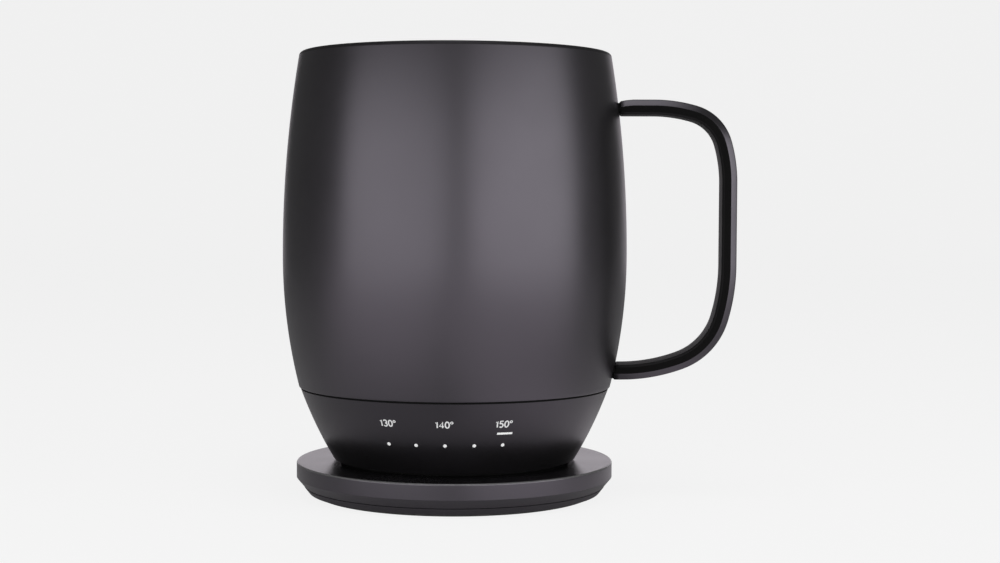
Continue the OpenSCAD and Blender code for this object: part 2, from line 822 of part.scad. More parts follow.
// Lying slab from the axis outwards at one turn and height
module slab(turn, z, size, from_r, to_r) {
    rotate(turn) translate([from_r, -size.x / 2, z - size.y / 2]) cube([to_r - from_r, size.x, size.y]);
}

function dot_turn(i) = last_dot - i * dot_pitch;

module base_housing() {
    color(satin_black) difference() {
        union() {
            rotate_extrude() difference() {
                base_area(0, base_low_z, seam_low_z);
                base_area(base_wall, ledge_z + ledge_t, seam_low_z + over);
                ring_area(-over, opening_r, base_low_z - over, ledge_z);
                ring_area(-over, ledge_r, ledge_z - over, ledge_z + ledge_t + over);
            }
            at_three(bottom_screw_turn, bottom_screw_at) bar([0, 0], post_r, ledge_z + ledge_t / 2, board_z);
        }
        at_three(bottom_screw_turn, bottom_screw_at)
            bar([0, 0], bottom_screw_r + fit_gap, base_low_z, board_z - 0.6);
        for (i = [0:dot_count - 1]) {
            spoke(dot_turn(i), dot_z, dot_r + fit_gap, pipe_r, belly_r);
        }
        slab(last_dot, bar_z, [bar_w + 2 * fit_gap, bar_t + 2 * fit_gap], pipe_r, belly_r);
    }
}

module bottom_cover() {
    color(deep_black) difference() {
        rotate_extrude() difference() {
            union() {
                ring_area(recess_r, cover_core_r, cover_low_z, cover_top_z);
                ring_area(recess_r, cover_r, cover_low_z, ledge_z);
            }
            ring_area(0, plate_r + fit_gap, recess_z, cover_top_z + over);
            ring_area(foot_in_r - fit_gap, foot_out_r + fit_gap, cover_low_z - over, groove_z);
        }
        at_three(bottom_screw_turn, bottom_screw_at) {
            bar([0, 0], bottom_screw_r + fit_gap, cover_low_z, cover_top_z);
            bar([0, 0], bottom_head_r + slip_gap, cover_low_z, groove_z + bottom_head_h + fit_gap);
        }
    }
}

// Roof of the recess, let into the bottom cover from above, with grooves for the contact rings
module contact_plate() {
    color(deep_black) difference() {
        rotate_extrude() difference() {
            ring_area(button_hole_r, plate_r, recess_z, cover_top_z);
            for (track = [inner_track_r, outer_track_r]) {
                ring_area(track - track_w / 2 - fit_gap, track + track_w / 2 + fit_gap, recess_z - over,
                    recess_z + track_t);
            }
        }
        for (at = [inner_stud_at, outer_stud_at]) {
            bar(at, stud_r + fit_gap, recess_z, cover_top_z + over);
        }
    }
}

module foot_ring() {
    color(rubber_black) rotate_extrude() ring_area(foot_in_r, foot_out_r, foot_z, groove_z);
}

module bottom_screws() {
    color(steel) at_three(bottom_screw_turn, bottom_screw_at) {
        bar([0, 0], bottom_head_r, groove_z + fit_gap, groove_z + bottom_head_h);
        bar([0, 0], bottom_screw_r, groove_z + bottom_head_h, board_z - 0.8);
    }
}

module heater_film() {
    color([0.80, 0.45, 0.15]) {
        bar([0, 0], film_r, film_z, cup_z);
        block([0, (film_r + tab_end) / 2 - 1], [2 * tab_half, tab_end - film_r + 2, film_t], film_z);
    }
}

module thermistor() {
    color(chip_black) bar([0, 0], sensor_r, film_z - sensor_h, film_z);
}

module insulation_disc() {
    slot_x = tab_half + slot_gap;
    color([0.82, 0.80, 0.74]) difference() {
        bar([0, 0], ring_r - slot_gap, tray_top_z, film_z);
        bar([0, 0], sensor_r + slip_gap, film_z - sensor_h - slip_gap, film_z + over);
        translate([-slot_x, lead_y - lead_r - slot_gap, tray_top_z - over])
            cube([2 * slot_x, ring_r, insulation_t + 2 * over]);
        translate([-wire_x - wire_r - slip_gap, 0, wire_z - wire_r - slip_gap])
            cube([2 * (wire_x + wire_r + slip_gap), ring_r, insulation_t]);
    }
}

module battery_tray() {
    size = [2 * tray_half_x, 2 * tray_half_y, tray_top_z - tray_z];
    color([0.25, 0.26, 0.28]) {
        difference() {
            intersection() {
                block([0, 0], size, tray_z);
                bar([0, 0], base_r(tray_z, base_wall) - slip_gap, tray_z, tray_top_z);
            }
            for (x = [-pocket_x, pocket_x]) {
                block([x, 0], [pocket_w, pocket_l, tray_top_z], cell_z);
            }
        }
        for (x = [-1, 1] * (tray_half_x - tray_leg_r - 3), y = [-1, 1] * (tray_half_y - tray_leg_r - 1)) {
            bar([x, y], tray_leg_r, board_top_z, tray_z);
        }
    }
}

module battery_cells() {
    color([0.62, 0.64, 0.66]) for (x = [-pocket_x, pocket_x]) {
        block([x, 0], [cell_w, cell_l, cell_t], cell_z);
    }
}

module main_board() {
    color(board_green) bar([0, 0], board_r, board_z, board_top_z);
}

module board_components() {
    step = board_step;
    color(chip_black) {
        block([0, 0], chip_size, board_top_z);
        block([-4.6, 2.2] * step, [6, 6, 1.6], board_top_z);
        block([4.2, -2.2] * step, [5, 5, 1], board_top_z);
        block([3.6, 2.8] * step, [7, 4, 1.2], board_top_z);
        block([-4, -2.8] * step, [4, 6, 1.2], board_top_z);
        for (x = [-2:2]) {
            block([1.1 * x, 4.3] * step, [1.2, 2, 0.7], board_top_z);
            block([1.1 * x, -4.3] * step, [1.2, 2, 0.7], board_top_z);
        }
        block([0, -7] * step, socket_size, board_top_z);
    }
}

module tact_switch() {
    color(chip_black) difference() {
        block([0, 0], [switch_size, switch_size, switch_h], switch_z);
        bar([0, 0], plunger_r + fit_gap, switch_z - over, plunger_z + button_travel + 0.1);
    }
}

module led_board() {
    color(board_green) rotate(front - led_board_span / 2) rotate_extrude(angle = led_board_span)
        ring_area(led_board_r, led_r, board_top_z, board_top_z + led_board_h);
}

module leds() {
    color(light_white) {
        for (i = [0:dot_count - 1]) {
            slab(dot_turn(i), dot_z, [led_w, led_h], led_r, pipe_r);
        }
        slab(last_dot, bar_z, [led_w, led_h], led_r, pipe_r);
    }
}

module light_pipes() {
    color(light_white) intersection() {
        union() {
            for (i = [0:dot_count - 1]) {
                spoke(dot_turn(i), dot_z, dot_r, pipe_r, belly_r);
            }
        }
        base_solid(fit_gap);
    }
}

module bar_light_pipe() {
    color(light_white) intersection() {
        slab(last_dot, bar_z, [bar_w, bar_t], pipe_r, belly_r);
        base_solid(fit_gap);
    }
}

module contact_ring(track) {
    color(gold) rotate_extrude()
        ring_area(track - track_w / 2, track + track_w / 2, recess_z, recess_z + track_t);
}

module inner_contact_ring() {
    contact_ring(inner_track_r);
}

module outer_contact_ring() {
    contact_ring(outer_track_r);
}

module contact_studs() {
    color(gold) for (at = [inner_stud_at, outer_stud_at]) {
        bar(at, stud_r, recess_z + track_t, board_z);
    }
}

module heater_leads() {
    color([0.70, 0.12, 0.10]) for (x = [-lead_x, lead_x]) {
        bar([x, lead_y], lead_r, board_top_z, film_z);
    }
}

module sensor_leads() {
    color([0.15, 0.15, 0.16]) for (x = [-wire_x, wire_x]) {
        translate([x, sensor_r, wire_z]) rotate([-90, 0, 0])
            cylinder(r = wire_r, h = lead_y - sensor_r, $fn = small_fn);
        translate([x, lead_y, wire_z]) sphere(wire_r, $fn = small_fn);
        bar([x, lead_y], wire_r, board_top_z, wire_z);
    }
}

module button_seal() {
    color(rubber_black) rotate_extrude()
        ring_area(seal_in_r, seal_in_r + button_seal_t, cover_top_z, cover_top_z + button_seal_h);
}

module power_button() {
    color(deep_black) {
        bar([0, 0], button_r, button_z, button_top_z);
        bar([0, 0], button_flange_r, button_flange_z, button_top_z);
    }
}

module switch_plunger() {
    color(light_white) bar([0, 0], plunger_r, button_top_z, plunger_z);
}

coaster_pad();
coaster_base();
coaster_top();
coaster_board();
coaster_components();
cord_gland();
pin_barrels();
inner_pin_spring();
outer_pin_spring();
coaster_screws();
inner_contact_pin();
outer_contact_pin();
outer_shell();
inner_cup();
rim_seal();
handle();
handle_screws();
shell_ring();
seam_gasket();
base_housing();
bottom_cover();
contact_plate();
foot_ring();
bottom_screws();
heater_film();
thermistor();
insulation_disc();
battery_tray();
battery_cells();
main_board();
board_components();
tact_switch();
led_board();
leds();
light_pipes();
bar_light_pipe();
inner_contact_ring();
outer_contact_ring();
contact_studs();
heater_leads();
sensor_leads();
button_seal();
power_button();
switch_plunger();
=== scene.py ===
import math

import bmesh
import bpy
from mathutils import Matrix, Vector


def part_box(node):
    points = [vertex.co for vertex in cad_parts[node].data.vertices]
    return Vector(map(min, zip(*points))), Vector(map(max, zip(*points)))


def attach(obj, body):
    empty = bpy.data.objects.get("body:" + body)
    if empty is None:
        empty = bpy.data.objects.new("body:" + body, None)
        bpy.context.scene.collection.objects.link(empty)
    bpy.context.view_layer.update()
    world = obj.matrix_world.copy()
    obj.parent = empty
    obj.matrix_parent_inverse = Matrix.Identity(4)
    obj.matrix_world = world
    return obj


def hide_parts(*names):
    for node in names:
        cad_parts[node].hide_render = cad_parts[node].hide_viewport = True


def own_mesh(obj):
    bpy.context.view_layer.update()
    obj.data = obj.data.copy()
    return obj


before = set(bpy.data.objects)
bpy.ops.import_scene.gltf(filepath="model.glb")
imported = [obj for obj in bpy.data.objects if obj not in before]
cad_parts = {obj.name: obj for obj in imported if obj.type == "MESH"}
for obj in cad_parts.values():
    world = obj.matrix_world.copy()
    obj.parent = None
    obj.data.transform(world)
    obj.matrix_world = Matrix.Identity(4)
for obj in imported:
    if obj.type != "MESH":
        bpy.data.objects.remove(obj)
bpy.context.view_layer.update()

# Sizes in millimetres and turns in degrees, as in the part's source. Heights are above the table.
MM = 0.001
FRONT = -90.0
# Points closer than WELD are made one, and a stroke whose ends are closer than LOOP_GAP is a loop
WELD = 1e-5
LOOP_GAP = 1e-6
# Most of an edge that the arc at one of its corners may take up
CORNER_SHARE = 0.48

# Shell, from the seam to the lip
RIM_Z = 120.4
BELLY_R = 47.0
BELLY_Z = 65.3
UPPER_ARC_R = 330.0
LOWER_ARC_R = 147.0
SEAM_LOW_Z = 29.15
SEAM_TOP_Z = 29.65
SEAM_EDGE = 0.25
SEAM_INNER_EDGE = 0.1
WALL_START_Z = SEAM_TOP_Z + 0.8
SHELL_WALL = 1.0
LIP_R = 1.2
LIP_MIDDLE_Z = RIM_Z - LIP_R
# Turns round the lip: off the wall, where the cup takes over (at LIP_Z), and on to the flare
LIP_START = 9.5
LIP_END = 140.0
LIP_INSIDE = 186.0
LIP_Z = 118.24

# Base under the seam
FOOT_Z = 9.2
BASE_STEP = 0.45
BASE_TAPER = 9.5
BASE_ARC_R = 110.0

# Cup inside the shell
CUP_INSET = 3.2
CUP_WALL = 1.0
CUP_Z = 33.07
CUP_FLOOR_T = 1.2
CUP_CORNER = 8.0
CUP_CORNER_START = -14.0
CUP_GAP = 0.05
FLARE_Z = 112.4
FLARE_STEP = 1.5
FLARE_START = 0.12

# Strap handle
HANDLE_X = 76.5
HANDLE_TOP_Z = 107.8
HANDLE_LOW_Z = 31.9
ARM_START_X = 50.0
STRAP_T = 4.1
STRAP_W = 12.0
STRAP_BEVEL_T = 1.7
STRAP_BEVEL_W = 1.2
STRAP_EDGE = 0.6
STRAP_SOFT = 0.35
STRAP_TOP_SOFT = 0.6
ARC_STATIONS = 17
EASE_TURN = math.degrees(math.atan(7 / 24))
ARM_TURN = math.degrees(math.atan(44 / 117))
# Tangent arcs of each bend from the grip to the arm: radius of the outer face, and turn
UPPER_ARCS = ((41.2, EASE_TURN), (13.7, 90 - 2 * EASE_TURN), (41.2, EASE_TURN))
LOWER_ARCS = ((54.6, EASE_TURN), (19.7, 90 - EASE_TURN - ARM_TURN), (48.4, ARM_TURN))
# Ends of the strap, ring by ring from the shell: set in all round, lowered on the outside,
# and clear of the shell
UPPER_END = (
    (0.3, 0.6, 0.0),
    (0.3, 0.6, 0.5),
    (0.14, 0.55, 0.55),
    (0.0, 0.45, 0.9),
    (0.0, 0.2, 2.2),
    (0.0, 0.0, 4.2),
)
LOWER_END = (
    (0.3, 0.0, 0.0),
    (0.3, 0.0, 0.5),
    (0.14, 0.0, 0.55),
    (0.0, 0.0, 0.9),
    (0.0, 0.0, 2.0),
)
NECK_RINGS = 3
# Finish of each strip along the strap, round its section: 0 side, 1 outside, 2 inside, whose
# lighter black is painted light
STRAP_STRIPS = [2] * 7 + [0] * 5 + [1] * 15 + [0] * 5 + [2] * 8

# Coaster, its pad and the mug's foot ring
COASTER_R = 43.3
COASTER_TOP_Z = 9.2
# Heights over which the wall's finish turns into the top's, and the pale edge inside the corner,
# partly wear and partly a painted highlight
COASTER_FADE_LOW = 8.6
COASTER_FADE_HIGH = 9.1
COASTER_WEAR_HIGHLIGHT_START = 0.48
COASTER_WEAR_HIGHLIGHT_END = 0.32
PAD_R = 38.3
PAD_T = 1.2
PAD_EDGE = 0.4
PAD_GROOVES = (6, 13, 20, 27, 33)
FOOT_OUT_R = 31.24
FOOT_IN_R = 26.24
FOOT_TOP_Z = 10.6
FOOT_EDGE = 0.3
FOOT_GROOVES = (27.9, 29.6)
GROOVE_HALF = 0.7
GROOVE_FLOOR_HALF = 0.35
GROOVE_DEPTH = 0.35
GROOVE_SOFT = 0.15
RUBBER_TOP_EDGE = 0.1

# Power button and pin springs
BUTTON_R = 5.2
BUTTON_Z = 11.57
BUTTON_EDGE = 0.4
BUTTON_LAND_R = 3.9
BUTTON_LAND_SOFT = 1.0
BUTTON_DISH_R = 2.2
BUTTON_DISH_SOFT = 2.0
BUTTON_DISH_DEPTH = 0.2
BUTTON_MIDDLE_DEPTH = 0.22
BUTTON_FLANGE_R = 6.6
BUTTON_FLANGE_Z = 13.57
BUTTON_FLANGE_EDGE = 0.1
BUTTON_TOP_Z = 14.17
SPRING_TURNS = 4
SPRING_WIRE_R = 0.12
SPRING_STEPS = 32
SPRING_WIRE_SIDES = 10

# Printed marks: turn from the front, and characters, where d is a degree ring
MARKS = ((-21.4, "130d"), (0.0, "140d"), (22.05, "150d"))
MARK_Z = 23.7
MARK_CAP = 2.1
MARK_STROKE = 0.36
RING_STROKE = 0.24
STROKE_STEP = 12
STROKE_POINTS = 6
MARK_LOW = -0.02
MARK_HIGH = 0.03
# Upright share of a length along the base's slope
MARK_SLOPE = 0.89

# Backdrop, and how pale it and the surroundings are
PAPER_HALF_W = 900.0
PAPER_FRONT_Y = -1500.0
PAPER_BEND_Y = 1500.0
PAPER_BEND_R = 400.0
PAPER_TOP_Z = 2600.0
PAPER_SEEN = 0.85
WORLD_LIGHT = 0.12
WORLD_SEEN = 0.86

# Lamps: name, turn and rise from the mug's middle, reach, width, height and watts
LAMP_AIM_Z = 62.0
LAMPS = (
    ("left_box", -125.7, 3.8, 700.0, 1037.0, 460.0, 3.14),
    ("right_box", -41.0, 5.0, 700.0, 1061.0, 490.0, 4.12),
    ("top_box", -90.0, 78.0, 900.0, 500.0, 500.0, 1.5),
)

# Camera
CAMERA_PLACE = (31.55, -478.15, 81.09)
CAMERA_YAW = 2.3
CAMERA_PITCH = -2.736
CAMERA_ROLL = 0.234
SENSOR_W = 36.0
# Focal length as a share of the sensor's width
FOCAL_SHARE = 1.74498
CLIP_START = 10.0

# Cast of the sheen on the black finishes, and of the floor's painted glow that they mirror
PLUM = (0.94, 0.87, 1.0, 1.0)
MAUVE = (1.0, 0.945, 1.0, 1.0)


# --- shader maths

class Shade:
    """A socket of a node tree. Sums, differences and products of it add Math nodes."""

    def __init__(self, tree, socket=None):
        self.tree = tree
        self.socket = socket

    def node(self, kind, settings, inputs, output=0):
        """Adds a node: its settings first, then the values or links of its sockets."""
        made = self.tree.nodes.new(kind)
        for name, value in settings.items():
            setattr(made, name, value)
        for name, value in inputs.items():
            join(self.tree, value, made.inputs[name])
        return Shade(self.tree, made.outputs[output])

    def math(self, operation, *values):
        return self.node("ShaderNodeMath", {"operation": operation}, dict(enumerate(values)))

    def __add__(self, other):
        return self.math("ADD", self, other)

    def __radd__(self, other):
        return self.math("ADD", other, self)

    def __sub__(self, other):
        return self.math("SUBTRACT", self, other)

    def __rsub__(self, other):
        return self.math("SUBTRACT", other, self)

    def __mul__(self, other):
        return self.math("MULTIPLY", self, other)

    def __rmul__(self, other):
        return self.math("MULTIPLY", other, self)

    def __truediv__(self, other):
        return self.math("DIVIDE", self, other)


def join(tree, value, socket):
    """Links a shade to a socket, or sets a plain value on it."""
    if isinstance(value, Shade):
        tree.links.new(value.socket, socket)
    else:
        socket.default_value = value


def start(name):
    """A new material, its shader and a shade that other nodes are added from."""
    material = bpy.data.materials.new(name)
    material.use_nodes = True
    tree = material.node_tree
    return material, tree.nodes["Principled BSDF"], Shade(tree)


def paint(shader, sockets):
    """Sets or links the shader's sockets."""
    for name, value in sockets.items():
        join(shader.id_data, value, shader.inputs[name])


def place(shade):
    """The point on the piece, in metres."""
    return shade.node("ShaderNodeTexCoord", {}, {}, "Object")


def noise(shade, spot, scale, detail, roughness=0.5):
    """Soft patches, as many to a metre as scale says; detail adds finer ones."""
    return shade.node("ShaderNodeTexNoise", {}, {
        "Vector": spot,
        "Scale": scale,
        "Detail": detail,
        "Roughness": roughness,
    })


def ramp(shade, value, low, high):
    """Stretches a value so that low becomes 0 and high becomes 1."""
    return shade.node("ShaderNodeMapRange", {"clamp": True}, {
        "Value": value,
        "From Min": low,
        "From Max": high,
        "To Min": 0.0,
        "To Max": 1.0,
    })


def blend_colours(shade, share, first, second):
    """Mixes two colours, which a Mix node takes at sockets 6 and 7 and gives at output 2."""
    sockets = {"Factor": share, 6: first, 7: second}
    return shade.node("ShaderNodeMix", {"data_type": "RGBA"}, sockets, 2)


def bump(shade, height, strength, distance):
    """A normal from heights between 0 and 1, which stand for 0 and distance in metres."""
    sockets = {"Height": height, "Strength": strength, "Distance": distance}
    return shade.node("ShaderNodeBump", {}, sockets, "Normal")


def grey(level, warmth=0.0):
    """A near-neutral colour, which warmth leans to red."""
    return (level * (1 + warmth), level, level * (1 - warmth), 1.0)


def parts_of(shade, spot):
    """The x, y and z of a point."""
    kind = "ShaderNodeSeparateXYZ"
    return [shade.node(kind, {}, {"Vector": spot}, axis) for axis in range(3)]


def axis_distance(shade, spot):
    """Distance of a point from the mug's axis."""
    x, y, _ = parts_of(shade, spot)
    return shade.math("SQRT", x * x + y * y)


# --- finishes

def satin_coat(name, level, gloss, sheen):
    """Fine powder coat of the shell, lip or strap: soft sheen, faint peel, handling marks."""
    material, shader, shade = start(name)
    spot = place(shade)
    peel = noise(shade, spot, 1500.0, 2.0)
    grit = noise(shade, spot, 5200.0, 1.0)
    handling = ramp(shade, noise(shade, spot, 38.0, 4.0, 0.6), 0.35, 0.75)
    fleck = ramp(shade, noise(shade, spot, 3300.0, 1.0), 0.62, 0.75)
    colour = blend_colours(shade, handling, grey(level * 0.9, 0.02), grey(level * 1.2, 0.02))
    paint(shader, {
        "Base Color": blend_colours(shade, fleck * 0.5, colour, grey(level * 2.2)),
        "Roughness": gloss + 0.05 * handling + 0.05 * grit,
        "Normal": bump(shade, peel * 0.7 + grit * 0.3, strength=0.10, distance=0.00004),
        "Specular IOR Level": sheen,
        "Specular Tint": PLUM,
    })
    return material


def moulded_black(name, level, gloss, grain, sheen):
    """Spark-textured black moulding."""
    material, shader, shade = start(name)
    spot = place(shade)
    texture = noise(shade, spot, grain, 3.0, 0.6)
    cloud = ramp(shade, noise(shade, spot, 55.0, 3.0), 0.3, 0.7)
    mottle = texture * 0.6 + cloud * 0.4
    paint(shader, {
        "Base Color": blend_colours(shade, mottle, grey(level * 0.75), grey(level * 1.3, 0.02)),
        "Roughness": gloss + 0.08 * texture - 0.04 * cloud,
        "Normal": bump(shade, texture, strength=0.18, distance=0.00005),
        "Specular IOR Level": sheen,
        "Specular Tint": PLUM,
    })
    return material


def coaster_moulding():
    """Black moulding of the coaster: smoother on top, with a pale edge over its wall that is
    partly wear and partly a painted highlight.
    """
    material, shader, shade = start("coaster_black")
    spot = place(shade)
    height = parts_of(shade, spot)[2]
    texture = noise(shade, spot, 2000.0, 3.0, 0.6)
    cloud = ramp(shade, noise(shade, spot, 55.0, 3.0), 0.3, 0.7)
    top = ramp(shade, height, COASTER_FADE_LOW * MM, COASTER_FADE_HIGH * MM)
    # Painted highlight: the rounded top edge is painted pale grey, broken up by noise like wear
    corner = COASTER_R + COASTER_TOP_Z
    outwards = axis_distance(shade, spot) + height
    wear_highlight_span = ((corner - COASTER_WEAR_HIGHLIGHT_START) * MM, (corner - COASTER_WEAR_HIGHLIGHT_END) * MM)
    edge = ramp(shade, outwards, *wear_highlight_span)
    rubbed_and_highlight = edge * (0.5 + 0.5 * noise(shade, spot, 420.0, 3.0))
    mottle = texture * 0.6 + cloud * 0.4
    black = blend_colours(shade, mottle, grey(0.003), grey(0.005, 0.02))
    paint(shader, {
        "Base Color": blend_colours(shade, rubbed_and_highlight, black, grey(0.16)),
        "Roughness": 0.32 - 0.08 * top + 0.08 * texture - 0.04 * cloud,
        "Normal": bump(shade, texture, strength=0.18, distance=0.00005),
        "Specular IOR Level": 1.0,
        "Specular Tint": PLUM,
    })
    return material


def cup_glaze():
    """Dark non-stick coat inside the cup, with fine flecks."""
    material, shader, shade = start("cup_glaze")
    spot = place(shade)
    fleck = ramp(shade, noise(shade, spot, 2600.0, 1.0), 0.66, 0.72)
    wave = noise(shade, spot, 260.0, 2.0)
    cloud = ramp(shade, noise(shade, spot, 60.0, 3.0), 0.3, 0.7)
    dark = blend_colours(shade, cloud, grey(0.012), grey(0.017))
    paint(shader, {
        "Base Color": blend_colours(shade, fleck * 0.5, dark, grey(0.07)),
        "Roughness": 0.30 + 0.08 * cloud + 0.10 * fleck,
        "Normal": bump(shade, wave, strength=0.08, distance=0.00006),
    })
    return material


def soft_rubber(name, level, sheen):
    """Dull rubber with a little dust on it."""
    material, shader, shade = start(name)
    spot = place(shade)
    skin = noise(shade, spot, 2400.0, 3.0, 0.65)
    dust = ramp(shade, noise(shade, spot, 140.0, 4.0, 0.6), 0.5, 0.8)
    paint(shader, {
        "Base Color": blend_colours(shade, dust, grey(level), grey(level * 2, 0.03)),
        "Roughness": 0.72 + 0.16 * skin + 0.06 * dust,
        "Normal": bump(shade, skin, strength=0.3, distance=0.00005),
        "Specular IOR Level": sheen,
    })
    return material


def turned_metal(name, colour, dull, gloss):
    """Metal with fine turning rings about the mug's axis and a slight tarnish."""
    material, shader, shade = start(name)
    spot = place(shade)
    rings = noise(shade, axis_distance(shade, spot) * 9000.0, 1.0, 3.0)
    stain = ramp(shade, noise(shade, spot, 420.0, 4.0, 0.6), 0.45, 0.75)
    paint(shader, {
        "Base Color": blend_colours(shade, stain, colour, dull),
        "Metallic": 1.0,
        "Roughness": gloss + 0.12 * rings + 0.12 * stain,
        "Normal": bump(shade, rings, strength=0.12, distance=0.00002),
    })
    return material


def circuit_mask():
    """Green solder mask over tracks, with bare pads."""
    material, shader, shade = start("circuit_mask")
    spot = place(shade)
    tracks = shade.node("ShaderNodeTexBrick", {"offset": 0.5}, {
        "Vector": spot,
        "Scale": 420.0,
        "Mortar Size": 0.06,
        "Brick Width": 1.6,
        "Row Height": 0.5,
        "Color1": grey(0.0),
        "Color2": grey(0.0),
        "Mortar": grey(1.0),
    }, "Color")
    weave = noise(shade, spot, 3000.0, 2.0)
    pads = ramp(shade, noise(shade, spot, 700.0, 0.0), 0.72, 0.74)
    mask = blend_colours(shade, tracks, (0.006, 0.07, 0.03, 1.0), (0.012, 0.13, 0.05, 1.0))
    paint(shader, {
        "Base Color": blend_colours(shade, pads, mask, (0.75, 0.62, 0.30, 1.0)),
        "Metallic": pads,
        "Roughness": 0.32 + 0.12 * weave,
        "Normal": bump(shade, tracks, strength=0.3, distance=0.00003),
    })
    return material


def light_window():
    """Milky light guide, lit from behind."""
    material, shader, shade = start("light_window")
    milk = noise(shade, place(shade), 1800.0, 2.0)
    tone = blend_colours(shade, milk, (0.80, 0.81, 0.82, 1.0), (0.93, 0.93, 0.92, 1.0))
    paint(shader, {
        "Base Color": tone,
        "Roughness": 0.35 + 0.15 * milk,
        "Emission Color": tone,
        "Emission Strength": 0.25,
    })
    return material


def heater_track():
    """Amber film with an etched copper heating track."""
    material, shader, shade = start("heater_track")
    spot = place(shade)
    lanes = shade.math("SINE", axis_distance(shade, spot) * 2600.0)
    track = ramp(shade, lanes, 0.0, 0.15)
    haze = noise(shade, spot, 900.0, 3.0)
    film = (0.42, 0.16, 0.03, 1.0)
    copper = (0.80, 0.38, 0.20, 1.0)
    paint(shader, {
        "Base Color": blend_colours(shade, track, film, copper),
        "Metallic": track * 0.8,
        "Roughness": 0.30 + 0.2 * haze,
        "Normal": bump(shade, track, strength=0.3, distance=0.00004),
    })
    return material


def insulation_felt():
    """Pale felt of matted fibres."""
    material, shader, shade = start("insulation_felt")
    spot = place(shade)
    fibres = noise(shade, spot, 1700.0, 6.0, 0.75)
    clump = noise(shade, spot, 160.0, 4.0)
    matted = fibres * 0.6 + clump * 0.4
    deep = (0.55, 0.52, 0.45, 1.0)
    pale = (0.88, 0.86, 0.80, 1.0)
    paint(shader, {
        "Base Color": blend_colours(shade, matted, deep, pale),
        "Roughness": 0.85 + 0.12 * fibres,
        "Normal": bump(shade, fibres, strength=0.7, distance=0.0002),
    })
    return material


def cell_wrap():
    """Crinkled foil pouch of a battery cell."""
    material, shader, shade = start("cell_wrap")
    crease = noise(shade, place(shade), 220.0, 5.0, 0.55)
    dull = (0.52, 0.53, 0.55, 1.0)
    bright = (0.78, 0.79, 0.80, 1.0)
    paint(shader, {
        "Base Color": blend_colours(shade, crease, dull, bright),
        "Metallic": 0.9,
        "Roughness": 0.28 + 0.25 * crease,
        "Normal": bump(shade, crease, strength=0.35, distance=0.0002),
    })
    return material


def chip_resin():
    """Matt black resin of chips and switches."""
    material, shader, shade = start("chip_resin")
    grain = noise(shade, place(shade), 3600.0, 3.0)
    paint(shader, {
        "Base Color": blend_colours(shade, grain, grey(0.012), grey(0.026)),
        "Roughness": 0.55 + 0.2 * grain,
        "Normal": bump(shade, grain, strength=0.25, distance=0.00003),
    })
    return material


def lead_sleeve():
    """Red sleeve of the leads."""
    material, shader, shade = start("lead_sleeve")
    skin = noise(shade, place(shade), 1900.0, 2.0)
    deep = (0.30, 0.020, 0.018, 1.0)
    bright = (0.42, 0.035, 0.028, 1.0)
    paint(shader, {
        "Base Color": blend_colours(shade, skin, deep, bright),
        "Roughness": 0.42 + 0.18 * skin,
        "Normal": bump(shade, skin, strength=0.2, distance=0.00003),
    })
    return material


def printed_white_glow():
    """White pad print of the setting marks, with a faint painted glow."""
    material, shader, shade = start("printed_white_glow")
    ink = noise(shade, place(shade), 4200.0, 3.0)
    tone = blend_colours(shade, ink, (0.74, 0.75, 0.76, 1.0), (0.88, 0.88, 0.88, 1.0))
    paint(shader, {
        "Base Color": tone,
        "Roughness": 0.5 + 0.2 * ink,
        # Painted light: the print glows a little, though it is no lamp
        "Emission Color": tone,
        "Emission Strength": 0.12,
    })
    return material


# --- outlines and meshes

def spread(low, high, count):
    """Evenly spaced numbers from low to high."""
    return [low + (high - low) * i / (count - 1) for i in range(count)]


def arc_points(x, y, across, up, first, last, count):
    """Points of an arc between two turns; across and up are its radii."""
    points = []
    for turn in spread(first, last, count):
        angle = math.radians(turn)
        points.append((x + across * math.cos(angle), y + up * math.sin(angle)))
    return points


def arc_radius(centre, radius, z):
    """Radius at height z of a wall that follows an arc."""
    return centre[0] + math.sqrt(radius * radius - (z - centre[1]) ** 2)


def shell_radius(z, inset=0.0):
    """Radius of the shell's wall, set in by inset, at height z."""
    arc = UPPER_ARC_R if z >= BELLY_Z else LOWER_ARC_R
    return arc_radius((BELLY_R - arc, BELLY_Z), arc - inset, z)


def base_arc():
    """Centre of the base's arc."""
    top = Vector((shell_radius(SEAM_TOP_Z) - BASE_STEP, SEAM_LOW_Z))
    foot = top - Vector((BASE_TAPER, SEAM_LOW_Z - FOOT_Z))
    chord = top - foot
    half = chord.length / 2
    normal = Vector((-chord.y, chord.x)) / chord.length
    return (top + foot) / 2 + normal * math.sqrt(BASE_ARC_R ** 2 - half ** 2)


BASE_CENTRE = base_arc()


def base_radius(z):
    """Radius of the base's wall at height z."""
    return arc_radius(BASE_CENTRE, BASE_ARC_R, z)


def rounded(corners, steps=5):
    """Closed outline from corners (x, y, radius), with an arc of that radius at each corner."""
    outline = []
    count = len(corners)
    for i, (x, y, radius) in enumerate(corners):
        here = Vector((x, y))
        before = Vector(corners[i - 1][:2]) - here
        after = Vector(corners[(i + 1) % count][:2]) - here
        if radius <= 0:
            outline.append((x, y))
            continue
        half = before.angle(after) / 2
        most = CORNER_SHARE * min(before.length, after.length)
        reach = min(radius / math.tan(half), most)
        radius = reach * math.tan(half)
        inwards = (before.normalized() + after.normalized()).normalized()
        middle = here + inwards * radius / math.sin(half)
        first = here + before.normalized() * reach - middle
        last = here + after.normalized() * reach - middle
        sweep = first.angle_signed(last)
        for k in range(steps + 1):
            turn = -sweep * k / steps
            outline.append(tuple(middle + Matrix.Rotation(turn, 2) @ first))
    return outline


